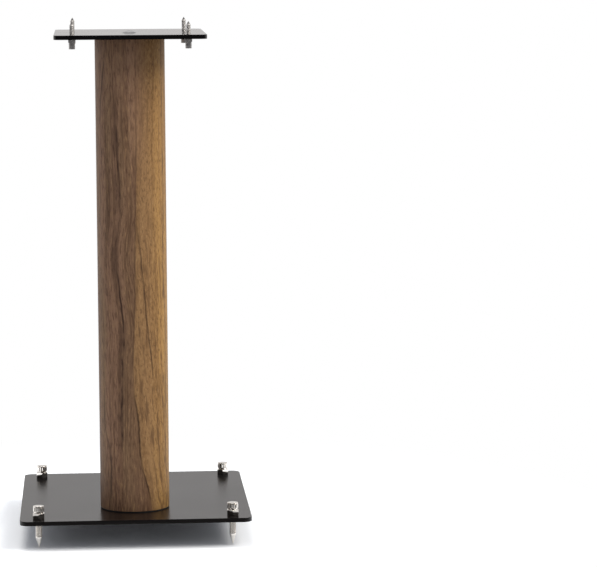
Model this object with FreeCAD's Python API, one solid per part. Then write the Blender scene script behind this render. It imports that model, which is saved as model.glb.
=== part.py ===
"""Speaker stand: steel base and top plates clamped to a round wooden column by one tie rod.

It stands on four adjustable floor spikes and carries a speaker on four adjustable top spikes.
Frame: +Z up, +Y to the back, origin on the floor under the middle of the base plate.
"""
import FreeCAD, Part
import math
import os

V = FreeCAD.Vector
UP = V(0, 0, 1)

# ---- driving sizes, mm ----
floor_gap = 30.0                 # underside of the base plate above the floor, spikes right out
base_width, base_depth, base_thick = 265.0, 300.0, 5.0
base_corner = 10.0
top_width, top_depth, top_thick = 172.0, 206.0, 5.0
top_corner = 8.0
column_setback = 82.0            # column axis behind the front edge of the base plate
front_overhang = 0.0             # front edge of the top plate ahead of the base plate's

column_dia, column_bore = 80.0, 50.0
column_length = 543.5
column_end_arris = 0.6
gasket_thick = 1.0
gasket_bore = 30.0
plug_thick = 18.0
glue_gap = 0.15                  # plug in the column bore, all round

tie_rod_dia = 8.0
tie_hole_clearance = 0.5         # radial, plates and plugs round the rod and the sleeve
tie_head_dia, tie_head_height = 16.0, 2.5
tie_sleeve_dia, tie_sleeve_length = 12.0, 22.0
tie_washer_dia, tie_washer_thick = 24.0, 2.0
tie_rod_tail = 1.5               # rod below its nut
tie_rod_spare = 2.0              # rod short of the roof of the sleeve's thread

pin_dia, pin_offset = 4.0, 17.0  # locating pins, behind the column axis
pin_in_plate, pin_in_plug = 2.8, 9.0
pin_clearance = 0.05
pin_hole_spare = 0.4             # blind holes deeper than the pins

thread_clearance = 0.08          # radial, every screw in its thread
seat_gap = 0.15                  # between faces that turn on each other

floor_inset = 21.5               # floor spike axes in from the base plate's edges
floor_spike_dia = 8.0
floor_cone_length = 12.5
floor_tip_dia = 0.8
floor_nut_flats, floor_nut_height = 13.0, 6.5
thumb_dia, thumb_height = 12.6, 7.6
thumb_roof = 1.8                 # metal over the thread of the thumb nut
thumb_flutes, thumb_flute_depth = 16, 0.6
thumb_rim = 1.3                  # plain rim above the flutes
thumb_neck_dia, thumb_neck_height = 10.8, 1.1

top_inset = 20.5                 # top spike axes in from the top plate's edges
top_spike_dia = 5.0
top_spike_rise = 14.5            # tip above the top plate
top_cone_length = 4.2
top_tip_dia = 0.6
top_nut_flats, top_nut_height = 8.0, 4.0
top_head_dia, top_head_height = 7.0, 7.0

# ---- levels and places that follow ----
base_top = floor_gap + base_thick
column_foot = base_top + gasket_thick
column_head = column_foot + column_length
plate_under = column_head + gasket_thick
plate_top = plate_under + top_thick
column_y = column_setback - base_depth / 2
top_y = (top_depth - base_depth) / 2 - front_overhang
pin_y = column_y + pin_offset
tie_hole = tie_rod_dia / 2 + tie_hole_clearance
sleeve_hole = tie_sleeve_dia / 2 + tie_hole_clearance
thread_slack = 2 * thread_clearance
floor_bore = floor_spike_dia + thread_slack
top_bore = top_spike_dia + thread_slack
thumb_seat = base_top + floor_nut_height + seat_gap
spike_end = thumb_seat + thumb_height - thumb_roof - seat_gap
head_seat = plate_under - top_nut_height - seat_gap

os.makedirs("parts", exist_ok=True)


def save(name, shape):
    """Write one sub-part's solid to its own file."""
    shape.exportStep("parts/" + name + ".step")


def cylinder(dia, low, high, x=0.0, y=0.0):
    """An upright cylinder between two levels."""
    return Part.makeCylinder(dia / 2, high - low, V(x, y, low), UP)


def turned(outline, x=0.0, y=0.0):
    """A solid turned about the upright line through x, y from (radius, level) points."""
    points = [V(x + radius, y, level) for radius, level in outline]
    face = Part.Face(Part.makePolygon(points + points[:1]))
    return face.revolve(V(x, y, 0), UP, 360)


def corners(width, depth, inset, middle_y):
    """The four places inset from the corners of a plate, each with its name."""
    places = []
    for side, across in (("left", -1), ("right", 1)):
        for end, along in (("front", -1), ("back", 1)):
            x = across * (width / 2 - inset)
            y = middle_y + along * (depth / 2 - inset)
            places.append((end + "_" + side, x, y))
    return places


def rounded_plate(width, depth, thick, corner, low, middle_y):
    """A flat plate with rounded corners."""
    plate = Part.makeBox(width, depth, thick, V(-width / 2, middle_y - depth / 2, low))
    upright = [e for e in plate.Edges if abs(e.tangentAt(e.FirstParameter).z) > 0.5]
    return plate.makeFillet(corner, upright)


def ring_of_points(radii, low, x, y):
    """Points evenly spaced round x, y, whose radii repeat in the given order."""
    count = len(radii)
    angles = [2 * math.pi * (k + 0.5) / count for k in range(count)]
    return [V(x + r * math.cos(a), y + r * math.sin(a), low) for r, a in zip(radii, angles)]


def prism(points, height):
    """An upright prism over a closed ring of points."""
    return Part.Face(Part.makePolygon(points + points[:1])).extrude(V(0, 0, height))


def hexagon_nut(flats, height, bore, low, x, y):
    """A hexagon nut with its thread bored through, two of its flats facing left and right."""
    ring = ring_of_points([flats / math.sqrt(3)] * 6, low, x, y)
    return prism(ring, height).cut(cylinder(bore, low, low + height, x, y))


def base_plate():
    """The base plate, with four tapped holes, the tie rod's hole and a blind pin hole."""
    plate = rounded_plate(base_width, base_depth, base_thick, base_corner, floor_gap, 0.0)
    plate = plate.cut(cylinder(2 * tie_hole, floor_gap, base_top, 0, column_y))
    pin_floor = base_top - pin_in_plate - pin_hole_spare
    plate = plate.cut(cylinder(pin_dia + 2 * pin_clearance, pin_floor, base_top, 0, pin_y))
    for _, x, y in corners(base_width, base_depth, floor_inset, 0.0):
        plate = plate.cut(cylinder(floor_bore, floor_gap, base_top, x, y))
    return plate


def top_plate():
    """The top plate, with four tapped holes, the sleeve's hole and a blind pin hole."""
    plate = rounded_plate(top_width, top_depth, top_thick, top_corner, plate_under, top_y)
    plate = plate.cut(cylinder(2 * sleeve_hole, plate_under, plate_top, 0, column_y))
    pin_roof = plate_under + pin_in_plate + pin_hole_spare
    plate = plate.cut(cylinder(pin_dia + 2 * pin_clearance, plate_under, pin_roof, 0, pin_y))
    for _, x, y in corners(top_width, top_depth, top_inset, top_y):
        plate = plate.cut(cylinder(top_bore, plate_under, plate_top, x, y))
    return plate


def column():
    """The hollow column, with eased edges at both ends."""
    outer, bore = column_dia / 2, column_bore / 2
    ease = column_end_arris
    outline = [(bore, column_foot), (outer - ease, column_foot), (outer, column_foot + ease),
               (outer, column_head - ease), (outer - ease, column_head), (bore, column_head)]
    return turned(outline, 0, column_y)


def gasket(low):
    """A thin ring between a column end and a plate."""
    high = low + gasket_thick
    ring = cylinder(column_dia - 2 * column_end_arris, low, high, 0, column_y)
    return ring.cut(cylinder(gasket_bore, low, high, 0, column_y)).cut(gasket_pin_way(low, high))


def gasket_pin_way(low, high):
    """The small hole that lets a locating pin pass a gasket, from its bore outwards."""
    return cylinder(pin_dia + 2 * pin_clearance, low, high, 0, pin_y)


def plug(low, hole, outer_face, inward):
    """A disc in one end of the column, with the tie rod's hole and a blind pin hole."""
    high = low + plug_thick
    disc = cylinder(column_bore - 2 * glue_gap, low, high, 0, column_y)
    disc = disc.cut(cylinder(2 * hole, low, high, 0, column_y))
    pin_end = outer_face + inward * (pin_in_plug + pin_hole_spare)
    span = sorted((outer_face, pin_end))
    return disc.cut(cylinder(pin_dia + 2 * pin_clearance, span[0], span[1], 0, pin_y))


def locating_pin(plate_face, plug_face, inward):
    """A pin from a plate, through the gasket, into a plug."""
    plate_end = plate_face - inward * pin_in_plate
    plug_end = plug_face + inward * pin_in_plug
    low, high = sorted((plate_end, plug_end))
    return cylinder(pin_dia, low, high, 0, pin_y)


def tie_rod_head():
    """The low round head on the top plate, with the threaded sleeve that takes the rod."""
    sleeve_low = plate_top - tie_sleeve_length
    head = cylinder(tie_head_dia, plate_top, plate_top + tie_head_height, 0, column_y)
    sleeve = cylinder(tie_sleeve_dia, sleeve_low, plate_top, 0, column_y)
    thread = cylinder(tie_rod_dia + thread_slack, sleeve_low, plate_top, 0, column_y)
    return head.fuse(sleeve).cut(thread)


def tie_rod():
    """The rod, from below its nut up into the sleeve."""
    low = floor_gap - tie_washer_thick - floor_nut_height - tie_rod_tail
    return cylinder(tie_rod_dia, low, plate_top - tie_rod_spare, 0, column_y)


def tie_rod_washer():
    """The broad washer under the base plate."""
    low = floor_gap - tie_washer_thick
    ring = cylinder(tie_washer_dia, low, floor_gap, 0, column_y)
    return ring.cut(cylinder(2 * tie_hole, low, floor_gap, 0, column_y))


def tie_rod_nut():
    """The nut that clamps the whole stand together."""
    low = floor_gap - tie_washer_thick - floor_nut_height
    bore = tie_rod_dia + thread_slack
    return hexagon_nut(floor_nut_flats, floor_nut_height, bore, low, 0, column_y)


def floor_spike(x, y):
    """A turned spike: a cone, the shank's free stretch, and the rest up into its thumb nut."""
    radius = floor_spike_dia / 2
    outline = [(0, 0), (floor_tip_dia / 2, 0), (radius, floor_cone_length),
               (radius, floor_gap), (radius, spike_end), (0, spike_end)]
    return turned(outline, x, y)


def thumb_nut(x, y):
    """A round nut: short neck, fluted grip, plain flat-topped rim, and a blind thread."""
    low, high = thumb_seat, thumb_seat + thumb_height
    grip_low, grip_high = low + thumb_neck_height, high - thumb_rim
    crest = thumb_dia / 2
    ring = ring_of_points([crest, crest - thumb_flute_depth] * thumb_flutes, grip_low, x, y)
    grip = prism(ring, grip_high - grip_low)
    neck = cylinder(thumb_neck_dia, low, grip_low, x, y)
    rim = cylinder(thumb_dia, grip_high, high, x, y)
    nut = grip.fuse([neck, rim])
    return nut.cut(cylinder(floor_bore, low, high - thumb_roof, x, y))


def top_spike(x, y):
    """A short point, the stud's free stretch, its stretch in the plate, and a round lower end."""
    tip = plate_top + top_spike_rise
    low = head_seat - top_head_height
    radius, head = top_spike_dia / 2, top_head_dia / 2
    outline = [(0, tip), (top_tip_dia / 2, tip), (radius, tip - top_cone_length),
               (radius, plate_top), (radius, head_seat), (head, head_seat), (head, low), (0, low)]
    return turned(outline, x, y)


save("base_plate", base_plate())
save("top_plate", top_plate())
save("column", column())
save("bottom_gasket", gasket(base_top))
save("top_gasket", gasket(column_head))
save("bottom_plug", plug(column_foot, tie_hole, column_foot, 1))
save("top_plug", plug(column_head - plug_thick, sleeve_hole, column_head, -1))
save("bottom_locating_pin", locating_pin(base_top, column_foot, 1))
save("top_locating_pin", locating_pin(plate_under, column_head, -1))
save("tie_rod", tie_rod())
save("tie_rod_head", tie_rod_head())
save("tie_rod_washer", tie_rod_washer())
save("tie_rod_nut", tie_rod_nut())

for place, x, y in corners(base_width, base_depth, floor_inset, 0.0):
    save("floor_spike_" + place, floor_spike(x, y))
    lock = hexagon_nut(floor_nut_flats, floor_nut_height, floor_bore, base_top, x, y)
    save("floor_lock_nut_" + place, lock)
    save("thumb_nut_" + place, thumb_nut(x, y))

for place, x, y in corners(top_width, top_depth, top_inset, top_y):
    save("top_spike_" + place, top_spike(x, y))
    nut_low = plate_under - top_nut_height
    lock = hexagon_nut(top_nut_flats, top_nut_height, top_bore, nut_low, x, y)
    save("top_lock_nut_" + place, lock)
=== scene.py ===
import math
from functools import reduce
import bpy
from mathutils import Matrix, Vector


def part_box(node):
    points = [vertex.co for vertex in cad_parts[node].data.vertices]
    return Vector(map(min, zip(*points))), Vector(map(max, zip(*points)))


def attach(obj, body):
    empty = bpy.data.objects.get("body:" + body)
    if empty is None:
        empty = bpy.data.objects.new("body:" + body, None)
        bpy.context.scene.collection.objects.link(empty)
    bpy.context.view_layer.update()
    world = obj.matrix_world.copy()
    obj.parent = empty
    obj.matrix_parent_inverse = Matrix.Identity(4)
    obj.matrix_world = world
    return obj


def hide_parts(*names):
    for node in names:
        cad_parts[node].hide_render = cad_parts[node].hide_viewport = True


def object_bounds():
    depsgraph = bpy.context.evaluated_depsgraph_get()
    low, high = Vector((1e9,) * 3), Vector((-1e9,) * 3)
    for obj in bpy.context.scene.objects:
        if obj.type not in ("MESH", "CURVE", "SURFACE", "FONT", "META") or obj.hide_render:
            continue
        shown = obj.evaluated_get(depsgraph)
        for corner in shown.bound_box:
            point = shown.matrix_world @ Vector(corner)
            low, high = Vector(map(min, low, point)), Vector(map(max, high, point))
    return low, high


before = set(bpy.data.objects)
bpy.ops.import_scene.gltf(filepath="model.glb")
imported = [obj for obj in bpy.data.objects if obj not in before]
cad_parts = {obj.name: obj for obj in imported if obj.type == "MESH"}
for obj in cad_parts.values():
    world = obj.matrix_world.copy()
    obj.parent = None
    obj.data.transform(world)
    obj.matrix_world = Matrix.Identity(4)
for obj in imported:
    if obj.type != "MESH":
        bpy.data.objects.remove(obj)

from types import SimpleNamespace

import bpy
import numpy as np
from mathutils import Matrix, Vector
from mathutils.geometry import tessellate_polygon

CAD_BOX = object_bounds()
PLACES = ("front_left", "front_right", "back_left", "back_right")
TURN = 2 * math.pi

# ---- sizes, metres ----
PLATE_ARRIS = 0.0004
BASE_CORNER, TOP_CORNER = 0.010, 0.008
PLATE_STEPS = 14                 # segments of a plate's rounded corner
COLUMN_ARRIS, COLUMN_BORE = 0.0006, 0.050
COLUMN_ROWS, COLUMN_COLUMNS = 33, 256
PLATE_HOLE, TOP_HOLE = 0.00408, 0.00258      # radii of the tapped M8 and M5 holes
ROD_HOLE, SLEEVE_HOLE, SLEEVE_GAP = 0.0045, 0.0065, 0.0005
TOP_STUD = 0.0025                # radius of the M5 stud
AXIS, CAP_AXIS = 0.0001, 0.0002  # least radius of a turned piece's ends
FLOOR_PITCH, FLOOR_THREAD_DEPTH = 0.00125, 0.00055
TOP_PITCH, TOP_THREAD_DEPTH = 0.0008, 0.00036
FLOOR_CONE, FLOOR_TIP = 0.0125, 0.0004
TOP_CONE, TOP_TIP = 0.0042, 0.0003
FLUTES, FLUTE_DEPTH = 16, 0.00060
THUMB_RIM, THUMB_NECK, THUMB_NECK_HEIGHT = 0.0013, 0.0054, 0.0011
THUMB_ROOF, THUMB_GROOVE = 0.0018, 0.0009    # cap over the thread, and the groove below the rim
SOCKET, SOCKET_DEPTH, SOCKET_LIP = 0.0025, 0.0016, 0.0034
HEAD_RIM, WASHER_EASE = 0.0003, 0.0003
FLAT_SHARP = 10.0                # degrees; keeps a plate's arris from tilting its flat faces
NUT_SHARP = 20.0
NUT_FACE = 0.94                  # washer face of a nut, as a share of its flats
ROUND = 96                       # columns of a small turned piece


# ---------------------------------------------------------------- meshes

def piece(name, points, faces, material, body, stands_for, sharp=28.0):
    """A mesh object from an array of points and lists of faces, smooth but for its sharp edges."""
    mesh = bpy.data.meshes.new(name)
    mesh.from_pydata(np.asarray(points, float).reshape(-1, 3).tolist(), [], faces)
    mesh.polygons.foreach_set("use_smooth", np.ones(len(mesh.polygons), bool))
    mesh.set_sharp_from_angle(angle=math.radians(sharp))
    mesh.materials.append(material)
    mesh.update()
    made = bpy.data.objects.new(name, mesh)
    bpy.context.scene.collection.objects.link(made)
    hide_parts(stands_for)
    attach(made, body)
    return made


def quads(rows, columns, ring=False):
    """Quads of a grid whose columns close on themselves, and whose rows do too where ring is set."""
    i = np.arange(rows if ring else rows - 1)[:, None]
    j = np.arange(columns)[None, :]
    up, across = (i + 1) % rows, (j + 1) % columns
    faces = np.stack([i * columns + j, i * columns + across, up * columns + across, up * columns + j], -1)
    return faces.reshape(-1, 4).tolist()


def caps(rows, columns):
    """One face over each open end of a grid, the first looking down the rows and the last up."""
    first, last = np.arange(columns), np.arange(columns) + (rows - 1) * columns
    return [first[::-1].tolist(), last.tolist()]


def angles(columns):
    """Evenly spaced angles of one turn, counter-clockwise seen from above."""
    return np.arange(columns) * TURN / columns


def turned(profile, x, y, columns=ROUND):
    """A profile of (radius, level) points turned about x, y: x + r cos a, y + r sin a, level."""
    radius, level = np.array(profile, float).T
    a = angles(columns)
    return np.stack([x + np.outer(radius, np.cos(a)), y + np.outer(radius, np.sin(a)),
                     np.repeat(level[:, None], columns, 1)], -1)


def rounding(radius, level, size, start, end, steps=4):
    """Points of a small arc about (radius, level), from one angle to another, in degrees."""
    a = np.radians(np.linspace(start, end, steps + 1))
    return [(radius + size * math.cos(k), level + size * math.sin(k)) for k in a]


def outline(low, high, corner, inset, steps=PLATE_STEPS):
    """A rounded rectangle: each corner's centre plus (corner - inset) times the unit normal."""
    a = np.radians(np.concatenate([np.linspace(q, q + 90, steps + 1) for q in (0, 90, 180, 270)]))
    right, back = np.cos(a), np.sin(a)
    side = np.repeat([1, -1, -1, 1], steps + 1)
    end = np.repeat([1, 1, -1, -1], steps + 1)
    middle, half = (low + high) / 2, (high - low) / 2 - corner
    return np.stack([middle[0] + side * half[0] + (corner - inset) * right,
                     middle[1] + end * half[1] + (corner - inset) * back], -1)


def plate(name, corner, holes, material):
    """A plate with a quarter-round arris on both faces and upright holes right through it.

    The wall is the outline drawn in by R - R cos t while its level moves by R sin t.
    """
    low, high = (np.array(v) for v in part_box(name))
    t = np.radians(np.linspace(0, 90, 5))
    inset = PLATE_ARRIS * np.concatenate([1 - np.cos(t[::-1]), 1 - np.cos(t)])
    lift = PLATE_ARRIS * np.sin(t)
    level = np.concatenate([low[2] + PLATE_ARRIS - lift[::-1], high[2] - PLATE_ARRIS + lift])
    edges = [outline(low, high, corner, inward) for inward in inset]
    wall = [np.column_stack([edge, np.full(len(edge), z)]) for edge, z in zip(edges, level)]
    rows, columns = len(wall), len(wall[0])
    points, faces = list(np.concatenate(wall)), quads(rows, columns)
    rings = {0: [list(range(columns))], 1: [list(range((rows - 1) * columns, rows * columns))]}
    for x, y, radius, count in holes:
        start, a = len(points), angles(count)
        circle = np.stack([x + radius * np.cos(a), y + radius * np.sin(a)], -1)
        points += [(*p, low[2]) for p in circle] + [(*p, high[2]) for p in circle]
        k = np.arange(count)
        up, across = k + count, (k + 1) % count
        faces += (start + np.stack([k, up, across + count, across], -1)).tolist()
        rings[0].append((start + k).tolist())
        rings[1].append((start + up).tolist())
    for top, loops in rings.items():
        index = np.concatenate(loops)
        flat = [[Vector(points[i][:2]).to_3d() for i in loop] for loop in loops]
        for triangle in tessellate_polygon(flat):
            a, b, c = (np.array(points[index[k]][:2]) for k in triangle)
            turn = (b[0] - a[0]) * (c[1] - a[1]) - (b[1] - a[1]) * (c[0] - a[0])
            order = triangle if (turn > 0) == bool(top) else triangle[::-1]
            faces.append([int(index[k]) for k in order])
    return piece(name + "_plate", points, faces, material, "stand", name, FLAT_SHARP)


def nut(name, node, body, bore, material):
    """A hexagon nut whose corners are cut by a 30 degree cone on both faces.

    The hexagon's radius is h(a) = half flats / cos(angle from the nearest flat).
    """
    low, high = (np.array(v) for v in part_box(node))
    x, y = (low[:2] + high[:2]) / 2
    flats = high[0] - low[0]
    a = angles(ROUND)
    from_flat = (a + TURN / 12) % (TURN / 6) - TURN / 12
    hexagon = flats / 2 / np.cos(from_flat)
    face = NUT_FACE * flats / 2
    drop = (hexagon - face) * math.tan(math.radians(30))
    sink = bore * 0.16
    flat_row = np.ones(ROUND)
    radius = np.stack([bore * flat_row, (bore + sink) * flat_row, face * flat_row, hexagon, hexagon,
                       face * flat_row, (bore + sink) * flat_row, bore * flat_row])
    level = np.stack([(low[2] + sink) * flat_row, low[2] * flat_row, low[2] * flat_row, low[2] + drop,
                      high[2] - drop, high[2] * flat_row, high[2] * flat_row, (high[2] - sink) * flat_row])
    points = np.stack([x + radius * np.cos(a), y + radius * np.sin(a), level], -1)
    return piece(name, points, quads(len(points), ROUND, ring=True), material, body, node, NUT_SHARP)


def threaded(profile, x, y, pitch, depth, first, last, columns=48, per_turn=12):
    """A turned piece whose stretch between two levels carries a thread.

    There r = R - depth (0.5 - 0.5 cos(2 pi (z / pitch - a / 2 pi))) fades in over one pitch at its ends.
    """
    a = angles(columns)
    radius, level = np.array(profile, float).T
    below, above = level < first, level > last
    count = int((last - first) / pitch * per_turn)
    z = np.concatenate([level[below], np.linspace(first, last, count), level[above]])
    major = np.interp(z, level, radius)
    fade = np.clip(np.minimum(z - first, last - z) / pitch, 0, 1)[:, None]
    wave = 0.5 - 0.5 * np.cos(TURN * z[:, None] / pitch - a[None, :])
    r = major[:, None] - depth * fade * wave ** 1.4
    return np.stack([x + r * np.cos(a), y + r * np.sin(a), np.repeat(z[:, None], columns, 1)], -1)


# ---------------------------------------------------------------- finishes

def display(red, green, blue):
    """A colour seen on a screen, 0 to 255, as linear red, green, blue."""
    c = np.array([red, green, blue]) / 255
    return tuple(np.where(c <= 0.04045, c / 12.92, ((c + 0.055) / 1.055) ** 2.4).tolist())


class Link:
    """One output of a node in a finish. Arithmetic on it adds the Math nodes."""

    def __init__(self, finish, socket):
        self.finish, self.socket = finish, socket

    def math(self, operation, *values):
        return self.finish.node("ShaderNodeMath", {"operation": operation}, dict(enumerate(values)))

    def __add__(self, other):
        return self.math("ADD", self, other)

    __radd__ = __add__

    def __sub__(self, other):
        return self.math("SUBTRACT", self, other)

    def __rsub__(self, other):
        return self.math("SUBTRACT", other, self)

    def __mul__(self, other):
        return self.math("MULTIPLY", self, other)

    __rmul__ = __mul__

    def __truediv__(self, other):
        return self.math("DIVIDE", self, other)

    def __pow__(self, other):
        return self.math("POWER", self, other)

    def size(self):
        return self.math("ABSOLUTE", self)

    def most(self, other):
        return self.math("MAXIMUM", self, other)

    def ramp(self, start, end):
        """0 below start, 1 above end, smooth between; start may be the larger."""
        settings = {"interpolation_type": "SMOOTHSTEP"}
        if start < end:
            return self.finish.node("ShaderNodeMapRange", settings, {0: self, 1: start, 2: end})
        return 1 - self.finish.node("ShaderNodeMapRange", settings, {0: self, 1: end, 2: start})


class Nodes:
    """The nodes of a material or of the world, emptied first."""

    def __init__(self, owner, coordinates):
        owner.use_nodes = True
        self.owner, self.tree = owner, owner.node_tree
        self.tree.nodes.clear()
        self.place = self.node("ShaderNodeTexCoord", output=coordinates)

    def node(self, kind, settings=None, inputs=None, output=0):
        """Any node: its settings first, then the values or links of its sockets."""
        made = self.tree.nodes.new(kind)
        for key, value in (settings or {}).items():
            if key == "curve":
                points = made.mapping.curves[0].points
                for _ in value[2:]:
                    points.new(0.5, 0.5)
                for point, where in zip(points, sorted(value)):
                    point.location = where
                made.mapping.update()
            else:
                setattr(made, key, value)
        for key, value in (inputs or {}).items():
            if isinstance(value, Link):
                self.tree.links.new(value.socket, made.inputs[key])
            else:
                made.inputs[key].default_value = value
        return None if output is None else Link(self, made.outputs[output])

    def axes(self, where):
        """The three parts of a place or direction."""
        split = self.node("ShaderNodeSeparateXYZ", inputs={0: where})
        return [Link(self, socket) for socket in split.socket.node.outputs]


class Finish(Nodes):
    """A procedural material: its nodes, and one principled shader that they feed."""

    def __init__(self, name):
        super().__init__(bpy.data.materials.new(name), "Object")

    def stretch(self, where, scale, shift=(0, 0, 0)):
        """A place scaled and moved."""
        return self.node("ShaderNodeMapping", inputs={0: where, 1: shift, 3: scale})

    def noise(self, where, scale, detail=2.0, roughness=0.5):
        """Noise from 0 to 1, mostly near a half."""
        inputs = {"Vector": where, "Scale": scale, "Detail": detail, "Roughness": roughness}
        return self.node("ShaderNodeTexNoise", inputs=inputs)

    def blend(self, amount, first, second):
        """The first colour turning into the second."""
        return self.node("ShaderNodeMix", {"data_type": "RGBA"}, {0: amount, 6: first, 7: second}, 2)

    def bump(self, height, distance, strength):
        inputs = {"Strength": strength, "Distance": distance, "Height": height}
        return self.node("ShaderNodeBump", inputs=inputs)

    def surface(self, **inputs):
        """The principled shader; sockets are named with underscores for spaces."""
        sockets = {key.replace("_", " "): value for key, value in inputs.items()}
        shader = self.node("ShaderNodeBsdfPrincipled", inputs=sockets)
        return self.out(shader)

    def out(self, shader):
        self.node("ShaderNodeOutputMaterial", inputs={"Surface": shader}, output=None)
        return self.owner


def rgba(colour):
    return (*colour, 1)


def lacquer(name, colour, roughness, mottle, level):
    """Baked lacquer on plate: faint clouds in the gloss, fine dust, and a tight orange peel."""
    f = Finish(name)
    clouds = f.noise(f.place, 14, 4, 0.6)
    dust = f.noise(f.place, 2600, 1).ramp(0.66, 0.78)
    peel = f.noise(f.place, 420, 2)
    tone = f.blend(dust * 0.25, rgba(colour), rgba([4 * c for c in colour]))
    return f.surface(Base_Color=tone, Roughness=roughness + (clouds - 0.5) * mottle + dust * 0.08,
                     Specular_IOR_Level=level, Normal=f.bump(peel, 0.00002, 0.25))


def metal(name, colour, roughness, brush=(900, 900, 60), scratch=0.10):
    """Plated or turned metal: fine tool lines and a slightly uneven polish."""
    f = Finish(name)
    lines = f.noise(f.stretch(f.place, brush), 4, 3, 0.6)
    clouds = f.noise(f.place, 180, 3)
    tone = f.blend(clouds.ramp(0.35, 0.75) * 0.4, rgba(colour), rgba([0.80 * c for c in colour]))
    return f.surface(Base_Color=tone, Metallic=1.0, Roughness=roughness + (lines - 0.5) * scratch,
                     Normal=f.bump(lines, 0.000006, 0.25))


def stud_zinc():
    """Satin zinc plate of the top studs, their locking nuts and ends, burnt dark at the points."""
    f = Finish("stud_zinc")
    _, _, height = f.axes(f.place)
    clouds = f.noise(f.place, 260, 3)
    tone = f.blend(clouds.ramp(0.35, 0.70) * 0.5, rgba((0.62, 0.59, 0.56)), rgba((0.40, 0.38, 0.35)))
    tip = CAD_BOX[1][2]
    point = height.ramp(tip - TOP_CONE, tip - 0.0022)
    tone = f.blend(point * 0.85, tone, rgba((0.03, 0.028, 0.027)))
    return f.surface(Base_Color=tone, Metallic=0.55, Roughness=0.42 + (clouds - 0.5) * 0.2,
                     Normal=f.bump(clouds, 0.00002, 0.3))


def plain(name, colour, roughness, grain, speckle):
    """A dull solid material with a fine speckle."""
    f = Finish(name)
    spots = f.noise(f.place, grain, 4, 0.7)
    tone = f.blend(spots.ramp(0.4, 0.65), rgba(colour), rgba([speckle * c for c in colour]))
    return f.surface(Base_Color=tone, Roughness=roughness + (spots - 0.5) * 0.15,
                     Normal=f.bump(spots, 0.0001, 0.3))


# The veneer's figure: (height above the floor, place round the column from its front), millimetres.
JOINT_PATH = [(36, 20), (66, 14), (90, 7.5), (140, 4), (175, 0), (280, 2.5), (440, 5.5), (582, 9)]
HEART_PATH = [(36, -13), (212, -13), (238, -11), (297, -16.5), (330, -19.5), (385, -14), (448, -16.5),
              (582, -18)]
FOOT_PATH = [(36, -33), (91, -30), (106, -31.5), (137, -40), (172, -40), (582, -44)]
HEAD_PATH = [(36, -48), (505, -41), (534, -37), (576, -31), (600, -30)]
BRANCH_PATH = [(36, 30), (205, 22), (241, 17.5), (304, 12), (339, 8.5), (377, 4.7), (582, 4.7)]
FIGURE_REACH = 60.0              # half the range that a path may cover
# Lines on the sides and back: (place round the column from its front in metres, seed).
FAR_LINES = [(0.052, 33.0), (0.071, 35.0), (0.094, 37.0), (-0.062, 39.0), (-0.083, 41.0), (-0.104, 43.0)]
LEFT_PINK, LEFT_OLIVE, LEFT_UMBER = (148, 113, 88), (138, 108, 80), (107, 77, 56)
RIGHT_TAN, RIGHT_GOLD, RIGHT_EARTH = (154, 117, 76), (178, 135, 77), (120, 85, 49)
PALE_GRAIN, DARK_GRAIN, LINE_BROWN = (188, 148, 102), (70, 45, 30), (46, 29, 22)

# Each noise of the veneer: scale across the grain and up it, per metre, then seed, detail and roughness.
SWAY, TREMBLE = (14, 5, 3.1, 2, 0.5), (70, 55, 8.0, 2, 0.5)
SWAY_REACH, TREMBLE_REACH = 0.006, 0.0030
BANDS, BANDS_RIGHT, HUE = (120, 2.2, 1.7, 3, 0.6), (150, 3.0, 5.2, 3, 0.6), (60, 2.6, 21.0, 2, 0.5)
STREAKS, DASHES, FLECKS = (520, 9, 14.0, 3, 0.6), (640, 85, 9.3, 3, 0.65), (560, 190, 9.3, 3, 0.65)
VEINS, WAVES = (330, 15, 31.0, 3, 0.6), (250, 36, 51.0, 2, 0.5)


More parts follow.
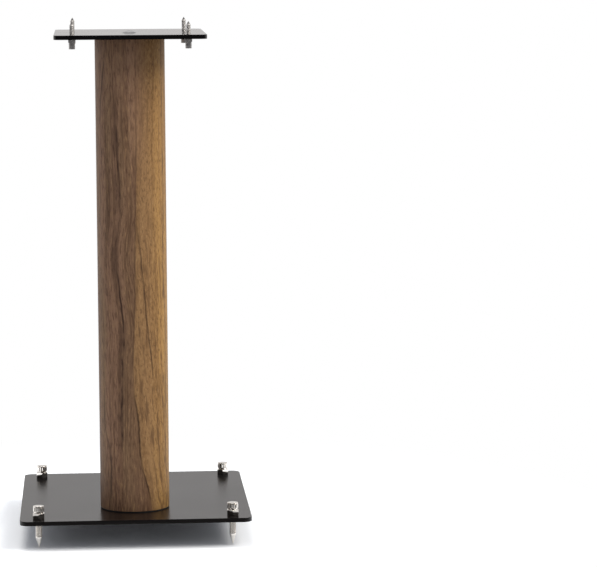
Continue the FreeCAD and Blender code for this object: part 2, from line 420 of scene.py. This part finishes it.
def walnut():
    """Walnut veneer on its own map: u runs round the column from the front, v up it, in metres.

    The grain is noise in the distance from a chosen path, so it flows along that path: left of the
    joint it follows the heart line, and right of it the way between the joint and its branch.
    """
    f = Finish("walnut_veneer")
    across, up, _ = f.axes(f.node("ShaderNodeUVMap", {"uv_map": "veneer"}))

    def at(u, v, w=0.0):
        return f.node("ShaderNodeCombineXYZ", inputs={0: u, 1: v, 2: w})

    def grain(where, scales):
        """One of the veneer's noises along a flow."""
        round_scale, up_scale, seed, detail, roughness = scales
        return f.noise(at(where * round_scale, up * up_scale, seed), 1, detail, roughness)

    def path(points):
        """How far round the column a path lies at each height."""
        curve = [(z / 600, 0.5 + u / 2 / FIGURE_REACH) for z, u in points]
        there = f.node("ShaderNodeFloatCurve", {"curve": curve}, {"Factor": 1, "Value": up / 0.6})
        return (there - 0.5) * (2 * FIGURE_REACH / 1000)

    joint, heart, branch = path(JOINT_PATH), path(HEART_PATH), path(BRANCH_PATH)
    sway = (grain(across, SWAY) - 0.5) * SWAY_REACH
    tremble = (grain(across, TREMBLE) - 0.5) * TREMBLE_REACH
    from_joint = across - joint + sway * 0.3 + tremble * 0.6
    flow_left = across - heart * 0.8 + sway + tremble * 0.5
    flow_right = across - (joint + branch) * 0.5 + sway + tremble
    crisp = up.ramp(0.470, 0.400) * 0.7
    side = from_joint.ramp(-0.0015, 0.0015) * crisp + from_joint.ramp(-0.012, 0.016) * (1 - crisp)

    bands, bands_right, hue = grain(flow_left, BANDS), grain(flow_right, BANDS_RIGHT), grain(flow_left, HUE)
    streaks, dashes = grain(flow_left, STREAKS), grain(flow_left, DASHES)
    flecks, veins = grain(flow_right, FLECKS), grain(flow_right, VEINS)
    waves = grain(flow_right, WAVES) + (veins - 0.5) * 0.4
    pores = f.noise(at(across * 2400 + tremble * 900, up * 160, 4.4), 1, 2, 0.6).ramp(0.54, 0.68)

    pink, olive, umber = display(*LEFT_PINK), display(*LEFT_OLIVE), display(*LEFT_UMBER)
    tan, gold, earth = display(*RIGHT_TAN), display(*RIGHT_GOLD), display(*RIGHT_EARTH)
    left = f.blend(hue.ramp(0.40, 0.62), rgba(pink), rgba(olive))
    left = f.blend(bands.ramp(0.44, 0.66) * 0.8, left, rgba(umber))
    near_joint = from_joint.ramp(-0.020, -0.003) * up.ramp(0.50, 0.38)
    left = f.blend(near_joint * 0.5, left, rgba(umber))
    left = f.blend(up.ramp(0.46, 0.54) * 0.6, left, rgba(pink))
    # Painted shade: the left of the veneer goes darker towards the foot, just above the dark base plate.
    left = f.blend(up.ramp(0.12, 0.04) * 0.5, left, rgba(umber))
    right = f.blend(across.ramp(0.016, 0.040), rgba(tan), rgba(gold))
    right = f.blend(bands_right.ramp(0.44, 0.68) * 0.6, right, rgba(earth))
    right = f.blend(up.ramp(0.33, 0.56) * 0.45, right, rgba(earth))
    tone = f.blend(side, left, right)

    def line(where, width, low, high, strength, seed):
        """A dark line along a path between two heights, coming and going."""
        gap = (across - where + tremble * 0.9).size()
        swell = f.noise(at(seed, up * 20, seed), 1, 3, 0.6)
        reach = up.ramp(low, low + 0.03) * up.ramp(high, high - 0.03)
        return (1 - gap.ramp(width * 0.2, width)) * (swell.ramp(0.34, 0.58) * 0.7 + 0.3) * reach * strength

    drawn = [(heart, 0.0022, 0.10, 0.340, 0.80, 2.0), (heart, 0.0022, 0.33, 0.500, 0.70, 3.0),
             (heart - 0.002, 0.0070, 0.10, 0.53, 0.42, 4.0),
             (path(HEAD_PATH), 0.0019, 0.480, 0.600, 0.65, 7.0),
             (path(FOOT_PATH), 0.0018, 0.034, 0.180, 0.70, 12.0),
             (branch, 0.0014, 0.180, 0.375, 0.70, 15.0),
             (joint + 0.0004, 0.0017, 0.034, 0.185, 0.80, 19.0),
             (joint - 0.0008, 0.0014, 0.185, 0.500, 0.45, 25.0)]
    drawn += [(heart * 0.5 + place, 0.0018, 0.02, 0.60, 0.6, seed) for place, seed in FAR_LINES]
    lines = reduce(Link.most, [line(*each) for each in drawn])
    left_dark = (dashes.ramp(0.49, 0.66) * 0.60).most(streaks.ramp(0.49, 0.68) * 0.55)
    right_dark = (flecks.ramp(0.50, 0.66) * 0.50).most(veins.ramp(0.52, 0.70) * 0.45)
    right_dark = right_dark.most(waves.ramp(0.50, 0.68) * up.ramp(0.44, 0.26) * 0.60)
    dark = left_dark * (1 - side) + right_dark * side
    pale = (dashes.ramp(0.46, 0.30) * (1 - side) * 0.35) + (flecks.ramp(0.46, 0.32) * side * 0.35)
    tone = f.blend(pale, tone, rgba(display(*PALE_GRAIN)))
    tone = f.blend(dark.most(pores * 0.25), tone, rgba(display(*DARK_GRAIN)))
    tone = f.blend(lines, tone, rgba(display(*LINE_BROWN)))
    height = 1 - dark - pores * 0.5
    return f.surface(Base_Color=tone, Roughness=0.50 + pores * 0.14, Specular_IOR_Level=0.22,
                     Normal=f.bump(height, 0.00006, 0.35))


FINISHES = SimpleNamespace(
    black_lacquer=lacquer("black_lacquer", display(15, 11, 10), 0.24, 0.06, 0.275),
    gloss_black=lacquer("gloss_black", display(12, 11, 12), 0.12, 0.04, 0.56),
    walnut=walnut(),
    bright_nickel=metal("bright_nickel", (0.86, 0.82, 0.77), 0.07, scratch=0.04),
    stud_zinc=stud_zinc(),
    plain_steel=metal("plain_steel", (0.52, 0.52, 0.53), 0.32),
    fibreboard=plain("fibreboard", display(170, 138, 104), 0.85, 900, 0.7),
    gasket_rubber=plain("gasket_rubber", display(28, 27, 27), 0.7, 1400, 0.6),
)


# ---------------------------------------------------------------- pieces

def centre(node):
    """The middle of a node's box, seen from above, and its two levels."""
    low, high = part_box(node)
    return (low[0] + high[0]) / 2, (low[1] + high[1]) / 2, low[2], high[2]


def make_plates():
    """Both plates, each with the holes that its fastenings pass through."""
    x, y, _, _ = centre("tie_rod")
    holes = [(x, y, ROD_HOLE, 48)]
    holes += [(*centre("floor_spike_" + place)[:2], PLATE_HOLE, 48) for place in PLACES]
    plate("base_plate", BASE_CORNER, holes, FINISHES.black_lacquer)
    holes = [(x, y, SLEEVE_HOLE, 48)]
    holes += [(*centre("top_spike_" + place)[:2], TOP_HOLE, 40) for place in PLACES]
    plate("top_plate", TOP_CORNER, holes, FINISHES.gloss_black)


def make_column():
    """The column: a tube with eased ends, and a veneer map whose seam is at the back."""
    low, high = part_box("column")
    x, y, bottom, top = centre("column")
    outer, bore, ease = (high[0] - low[0]) / 2, COLUMN_BORE / 2, COLUMN_ARRIS
    wall = [(outer, z) for z in np.linspace(bottom + ease, top - ease, COLUMN_ROWS)[1:-1]]
    profile = ([(bore, bottom)] + rounding(outer - ease, bottom + ease, ease, -90, 0)
               + wall + rounding(outer - ease, top - ease, ease, 0, 90) + [(bore, top)])
    columns = COLUMN_COLUMNS
    points = turned(profile, x, y, columns)
    faces = quads(len(profile), columns, ring=True)
    made = piece("column_veneer", points, faces, FINISHES.walnut, "stand", "column")
    column_of = np.array(faces) % columns
    wrapped = np.where((column_of == 0) & (column_of.max(1) == columns - 1)[:, None], columns, column_of)
    turn = wrapped * TURN / columns + TURN / 4
    from_front = turn - TURN * np.round(turn.mean(1, keepdims=True) / TURN)
    level = points.reshape(-1, 3)[np.array(faces).ravel(), 2]
    u = (from_front * outer).ravel()
    made.data.uv_layers.new(name="veneer").uv.foreach_set("vector", np.stack([u, level], -1).ravel())


def make_tie_rod_parts():
    """The domed head with its sleeve and key socket, and the washer and nut under the base plate.

    The dome's level is top - rise (r / R)^2, and the socket's wall is a hexagon: half flats / cos(angle
    from the nearest flat).
    """
    x, y, bottom, top = centre("tie_rod_head")
    radius = (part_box("tie_rod_head")[1][0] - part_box("tie_rod_head")[0][0]) / 2
    _, _, _, plate_top = centre("top_plate")
    sleeve, rise = SLEEVE_HOLE - SLEEVE_GAP, top - plate_top - HEAD_RIM
    profile = [(AXIS, plate_top), (PLATE_HOLE, plate_top), (PLATE_HOLE, bottom), (sleeve, bottom),
               (sleeve, plate_top), (radius, plate_top), (radius, plate_top + HEAD_RIM)]
    profile += [(r, top - rise * (r / radius) ** 2) for r in np.linspace(radius, SOCKET_LIP, 9)[1:]]
    wall, floor = len(profile), top - SOCKET_DEPTH
    profile += [(SOCKET, top - 0.0004), (SOCKET, floor), (AXIS, floor)]
    points = turned(profile, x, y)
    hexagon = 1 / np.cos((angles(ROUND) + TURN / 12) % (TURN / 6) - TURN / 12)
    points[wall:wall + 2, :, 0] = x + (points[wall:wall + 2, :, 0] - x) * hexagon
    points[wall:wall + 2, :, 1] = y + (points[wall:wall + 2, :, 1] - y) * hexagon
    faces = quads(len(profile), ROUND) + caps(len(profile), ROUND)
    piece("tie_rod_head_cap", points, faces, FINISHES.plain_steel, "stand", "tie_rod_head")

    x, y, bottom, top = centre("tie_rod_washer")
    radius, ease = (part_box("tie_rod_washer")[1][0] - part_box("tie_rod_washer")[0][0]) / 2, WASHER_EASE
    profile = ([(ROD_HOLE, bottom)] + rounding(radius - ease, bottom + ease, ease, -90, 0)
               + rounding(radius - ease, top - ease, ease, 0, 90) + [(ROD_HOLE, top)])
    points = turned(profile, x, y)
    piece("tie_rod_washer_disc", points, quads(len(profile), ROUND, ring=True), FINISHES.plain_steel,
          "stand", "tie_rod_washer")
    nut("tie_rod_lock_nut", "tie_rod_nut", "stand", PLATE_HOLE, FINISHES.plain_steel)


def thumb_nut(place):
    """A fluted round nut: grip radius R - depth cos^2 k a, between a plain neck and a plain rim."""
    node = "thumb_nut_" + place
    x, y, bottom, top = centre(node)
    radius = (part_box(node)[1][0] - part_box(node)[0][0]) / 2
    thread, roof, soft, lead = PLATE_HOLE, top - THUMB_ROOF, 0.0004, 0.0005
    neck, rim, groove = bottom + THUMB_NECK_HEIGHT, top - THUMB_RIM, radius - THUMB_GROOVE
    profile = [(CAP_AXIS, roof), (thread, roof), (thread, bottom + lead), (thread + lead, bottom),
               (THUMB_NECK, bottom), (THUMB_NECK, neck), (radius - 0.0006, neck), (radius, neck + lead)]
    profile += [(radius, z) for z in np.linspace(neck + lead, rim - soft, 8)[1:]]
    profile += [(groove, rim - 0.0001), (groove, rim + 0.0001), (radius - 0.0002, rim + 0.0003)]
    profile += rounding(radius - soft, top - soft, soft, 0, 90) + [(radius * 0.5, top), (CAP_AXIS, top)]
    columns = FLUTES * 12
    points = turned(profile, x, y, columns)
    a = angles(columns)
    level, reach = points[:, 0, 2], np.array(profile)[:, 0]
    grip = ((level > neck + 0.0003) & (level < rim - 0.0003) & (reach > THUMB_NECK)).astype(float)
    flute = FLUTE_DEPTH * np.cos(FLUTES / 2 * a) ** 2
    share = 1 - np.outer(grip, flute) / radius
    points[..., 0] = x + (points[..., 0] - x) * share
    points[..., 1] = y + (points[..., 1] - y) * share
    faces = quads(len(profile), columns) + caps(len(profile), columns)
    piece("thumb_nut_grip_" + place, points, faces, FINISHES.bright_nickel, node, node)


def floor_spike(place):
    """A turned cone on the floor and a threaded shank above it."""
    node = "floor_spike_" + place
    x, y, bottom, top = centre(node)
    radius = (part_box(node)[1][0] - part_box(node)[0][0]) / 2
    start = bottom + FLOOR_CONE
    profile = [(AXIS, bottom), (FLOOR_TIP, bottom), (radius * 0.5, bottom + FLOOR_CONE * 0.45),
               (radius - 0.0001, start - 0.0002), (radius, start), (radius, start + 0.0006),
               (radius, top - 0.0006), (radius - 0.0005, top)]
    points = threaded(profile, x, y, FLOOR_PITCH, FLOOR_THREAD_DEPTH, start + 0.0007, top - 0.0007)
    faces = quads(*points.shape[:2]) + caps(*points.shape[:2])
    piece("floor_spike_shank_" + place, points, faces, FINISHES.bright_nickel, node, node)


def top_spike(place):
    """A stud with a short dark point, threaded from there down to its plain round end."""
    node = "top_spike_" + place
    x, y, bottom, top = centre(node)
    head = (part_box(node)[1][0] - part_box(node)[0][0]) / 2
    _, _, seat, _ = centre("top_lock_nut_" + place)
    seat -= 0.00015
    radius, cone, ease = TOP_STUD, top - TOP_CONE, 0.0005
    profile = ([(CAP_AXIS, bottom)] + rounding(head - ease, bottom + ease, ease, -90, 0)
               + [(head, seat - 0.0002), (head - 0.0002, seat), (radius, seat), (radius, seat + 0.0002),
                  (radius, cone), (radius - 0.0001, cone + 0.0002), (TOP_TIP, top), (AXIS, top)])
    points = threaded(profile, x, y, TOP_PITCH, TOP_THREAD_DEPTH, seat + 0.0003, cone - 0.0003)
    faces = quads(*points.shape[:2]) + caps(*points.shape[:2])
    piece("top_spike_stud_" + place, points, faces, FINISHES.stud_zinc, node, node)


def make_fittings():
    """The spikes with their lock nuts and thumb nuts, at each corner of each plate."""
    for place in PLACES:
        floor_spike(place)
        thumb_nut(place)
        top_spike(place)
        for kind, hole, finish in (("floor_lock_nut_", PLATE_HOLE, FINISHES.bright_nickel),
                                   ("top_lock_nut_", TOP_HOLE, FINISHES.stud_zinc)):
            node = kind + place
            nut(node + "_hexagon", node, node, hole, finish)


def dress_hidden_nodes():
    """The nodes that keep their own mesh: gaskets, plugs, pins and the rod."""
    for node, finish in (("bottom_gasket", "gasket_rubber"), ("top_gasket", "gasket_rubber"),
                         ("bottom_plug", "fibreboard"), ("top_plug", "fibreboard"),
                         ("bottom_locating_pin", "plain_steel"), ("top_locating_pin", "plain_steel"),
                         ("tie_rod", "plain_steel")):
        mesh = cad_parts[node].data
        mesh.materials.clear()
        mesh.materials.append(getattr(FINISHES, finish))


make_plates()
make_column()
make_tie_rod_parts()
make_fittings()
dress_hidden_nodes()


# ---------------------------------------------------------------- studio

FRONT_GLOSS = 0.015              # how bright the camera's side of the studio is to glossy rays
FLOOR_SEEN, FLOOR_BOUNCE = 1.19, 0.50
FLOOR_REACH, FLOOR_FADE = 8.0, (0.28, 0.60)  # half the floor's width; where the shadow fades out
MIRROR_TURN = -0.12, -0.34       # where the mirrored floor goes dark, front of the middle
COOL, WARM = (0.88, 0.92, 1.0, 1), (1.0, 0.985, 0.96)
WARM_SHINE = (1.0, 0.975, 0.965, 1)


def make_floor():
    """A floor with the stand's shadow, plain white further out.

    Its bounce onto the stand is held back, and glossy rays see it dark on the camera's side.
    """
    reach = FLOOR_REACH
    mesh = bpy.data.meshes.new("studio_floor")
    mesh.from_pydata([(-reach, -reach, 0), (reach, -reach, 0), (reach, reach, 0), (-reach, reach, 0)], [],
                     [(0, 1, 2, 3)])
    made = bpy.data.objects.new("studio_floor", mesh)
    bpy.context.scene.collection.objects.link(made)
    f = Finish("studio_floor")

    def diffuse(grey):
        return f.node("ShaderNodeBsdfDiffuse", inputs={"Color": (grey, grey, grey, 1)})

    def glow(strength):
        return f.node("ShaderNodeEmission", inputs={"Color": (1, 1, 1, 1), "Strength": strength})

    def either(amount, first, second):
        return f.node("ShaderNodeMixShader", inputs={0: amount, 1: first, 2: second})

    far = f.node("ShaderNodeVectorMath", {"operation": "LENGTH"}, {0: f.place}, "Value").ramp(*FLOOR_FADE)
    _, back, _ = f.axes(f.place)
    camera = f.node("ShaderNodeLightPath", output="Is Camera Ray")
    glossy = f.node("ShaderNodeLightPath", output="Is Glossy Ray")
    seen = either(far, diffuse(FLOOR_SEEN), glow(1.0))
    mirrored = either(back.ramp(*MIRROR_TURN), seen, glow(FRONT_GLOSS))
    lit = either(glossy, diffuse(FLOOR_BOUNCE), mirrored)
    mesh.materials.append(f.out(either(camera, lit, seen)))


def make_world(fill, glossy_behind):
    """White to the camera; a soft cool fill; and for glossy rays bright behind and above, dark in front."""
    world = bpy.data.worlds.new("studio")
    bpy.context.scene.world = world
    f = Nodes(world, "Generated")
    _, back, up = f.axes(f.place)
    camera = f.node("ShaderNodeLightPath", output="Is Camera Ray")
    glossy = f.node("ShaderNodeLightPath", output="Is Glossy Ray")
    shine = (back + up * 0.6).ramp(-0.35, 0.35) * (glossy_behind - FRONT_GLOSS) + FRONT_GLOSS
    white = f.node("ShaderNodeBackground", inputs={"Color": (1, 1, 1, 1), "Strength": 1.0})
    warm = f.node("ShaderNodeBackground", inputs={"Color": WARM_SHINE, "Strength": shine})
    cool = f.node("ShaderNodeBackground", inputs={"Color": COOL, "Strength": fill})
    mixed = f.node("ShaderNodeMixShader", inputs={0: glossy, 1: cool, 2: warm})
    mixed = f.node("ShaderNodeMixShader", inputs={0: camera, 1: mixed, 2: white})
    f.node("ShaderNodeOutputWorld", inputs={"Surface": mixed}, output=None)


def softbox(name, place, aim, side, power):
    """A square lamp at a place, aimed at a point."""
    lamp = bpy.data.lights.new(name, "AREA")
    lamp.color = WARM
    lamp.shape, lamp.size, lamp.energy = "SQUARE", side, power
    made = bpy.data.objects.new(name, lamp)
    made.location = place
    made.rotation_euler = (Vector(aim) - Vector(place)).to_track_quat("-Z", "Y").to_euler()
    bpy.context.scene.collection.objects.link(made)
    return made


def make_camera():
    """The photograph's camera: its place, yaw, downward pitch and roll, and a lens with no shift."""
    image_width, focal_pixels, sensor = 597, 2952.66, 36.0
    place, yaw, pitch, roll = (-0.0462, -3.46095, 0.70082), -0.0702, 0.1191, 0.0053
    lens = bpy.data.cameras.new("photo_camera")
    lens.sensor_width, lens.lens = sensor, sensor * focal_pixels / image_width
    lens.clip_end = 100
    made = bpy.data.objects.new("photo_camera", lens)
    turn = (Matrix.Rotation(yaw, 4, "Z") @ Matrix.Rotation(math.pi / 2 - pitch, 4, "X")
            @ Matrix.Rotation(-roll, 4, "Z"))
    made.matrix_world = Matrix.Translation(place) @ turn
    bpy.context.scene.collection.objects.link(made)
    bpy.context.scene.camera = made


make_floor()
make_world(fill=0.57, glossy_behind=0.74)
softbox("key_softbox", place=(-0.45, -0.15, 3.1), aim=(0, 0, 0.2), side=1.2, power=34)
softbox("side_softbox", place=(1.6, -1.1, 2.1), aim=(0, -0.07, 0.35), side=1.3, power=50)
make_camera()
bpy.context.scene.view_settings.view_transform = "Standard"
